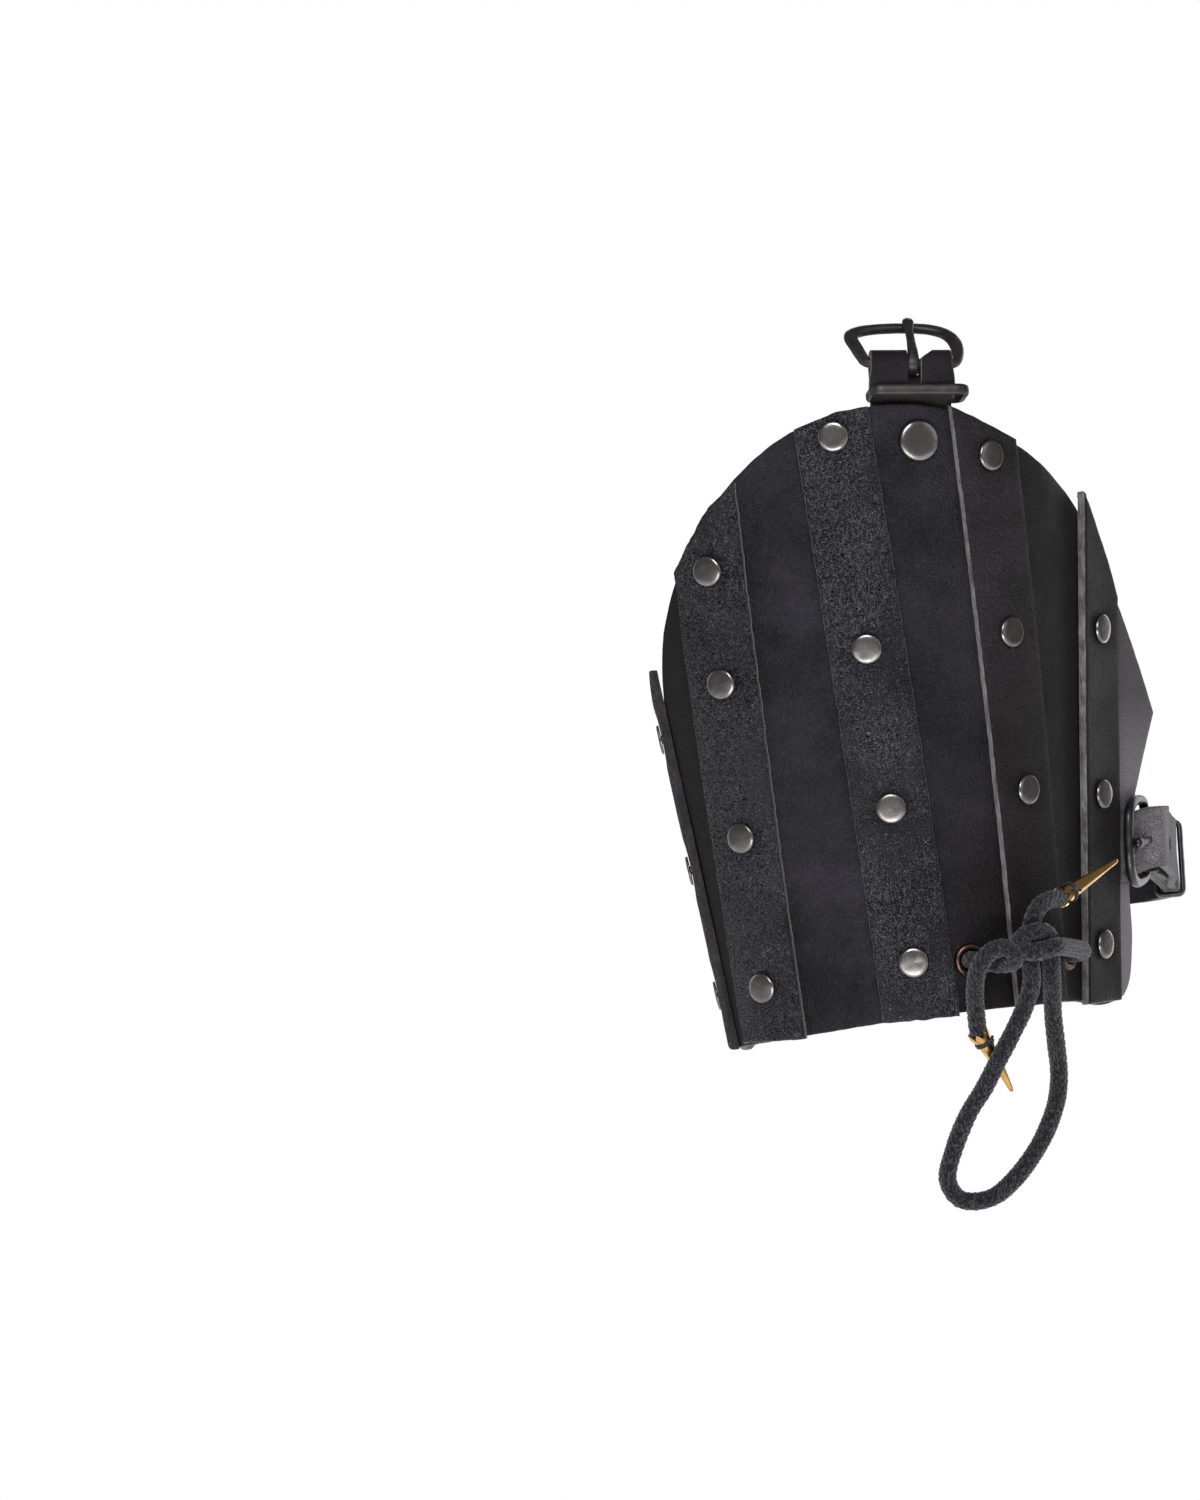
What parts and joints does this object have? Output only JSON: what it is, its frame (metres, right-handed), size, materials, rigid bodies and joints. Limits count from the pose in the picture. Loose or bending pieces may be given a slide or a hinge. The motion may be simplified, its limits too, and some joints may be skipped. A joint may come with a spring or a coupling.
{
  "type": "leather arm guard",
  "caption": "Flared arm guard of black leather with riveted upright strips, a buckled strap round the back of the arm, a buckle on top and a braided tie cord.",
  "frame": {"origin": "middle of the hollow that the arm goes through, at mount arm", "axes": "+Z along the arm, towards the top buckle; -Y out of the guard's convex front; +X to the side with the side buckle"},
  "size_m": [0.1832, 0.1594, 0.2706],
  "materials": {
    "shell_leather": "matt black leather with lighter cut edges",
    "splint_leather": "semi-gloss pebbled black leather",
    "strap_leather": "matt black strap leather",
    "rivet_steel": "dark nickelled steel caps",
    "black_metal": "black enamelled wire",
    "eyelet_metal": "antiqued dark copper",
    "aglet_brass": "polished brass",
    "cord_braid": "soft braided cotton"
  },
  "bodies": {
    "guard": {"aglet_1": "aglet_brass", "aglet_2": "aglet_brass", "back_rivet": "rivet_steel", "back_strap": "strap_leather", "base_shell": "shell_leather", "cord_end_1": "cord_braid", "cord_end_2": "cord_braid", "cord_inside": "cord_braid", "cord_knot": "cord_braid", "cord_loop": "cord_braid", "cord_stub_1": "cord_braid", "cord_stub_2": "cord_braid", "eyelet_1": "eyelet_metal", "eyelet_2": "eyelet_metal", "rivet_1_1": "rivet_steel", "rivet_1_2": "rivet_steel", "rivet_1_3": "rivet_steel", "rivet_2_1": "rivet_steel", "rivet_2_2": "rivet_steel", "rivet_2_3": "rivet_steel", "rivet_2_4": "rivet_steel", "rivet_3_1": "rivet_steel", "rivet_3_2": "rivet_steel", "rivet_3_3": "rivet_steel", "rivet_3_4": "rivet_steel", "rivet_4_1": "rivet_steel", "rivet_4_2": "rivet_steel", "rivet_4_3": "rivet_steel", "rivet_4_4": "rivet_steel", "rivet_5_1": "rivet_steel", "rivet_5_2": "rivet_steel", "rivet_5_3": "rivet_steel", "side_frame": "black_metal", "side_keeper": "black_metal", "side_prong": "black_metal", "splint_1": "splint_leather", "splint_2": "splint_leather", "splint_3": "splint_leather", "splint_4": "splint_leather", "splint_5": "splint_leather", "tongue_rivet": "rivet_steel", "tongue_strap": "strap_leather", "top_keeper": "black_metal", "top_rivet": "rivet_steel", "top_strap": "strap_leather"},
    "top_frame": {"top_frame": "black_metal"},
    "top_prong": {"top_prong": "black_metal"}
  },
  "joints": [
    {"name": "top_frame_hinge", "type": "hinge", "parent": "guard", "child": "top_frame", "pos_m": [-0.00856, -0.05816, 0.1006], "axis": [0.9915, -0.1042, -0.0785], "range_deg": [-70, 90]},
    {"name": "top_prong_hinge", "type": "hinge", "parent": "top_frame", "child": "top_prong", "pos_m": [-0.00856, -0.05816, 0.1006], "axis": [0.9915, -0.1042, -0.0785], "range_deg": [0, 75]}
  ]
}
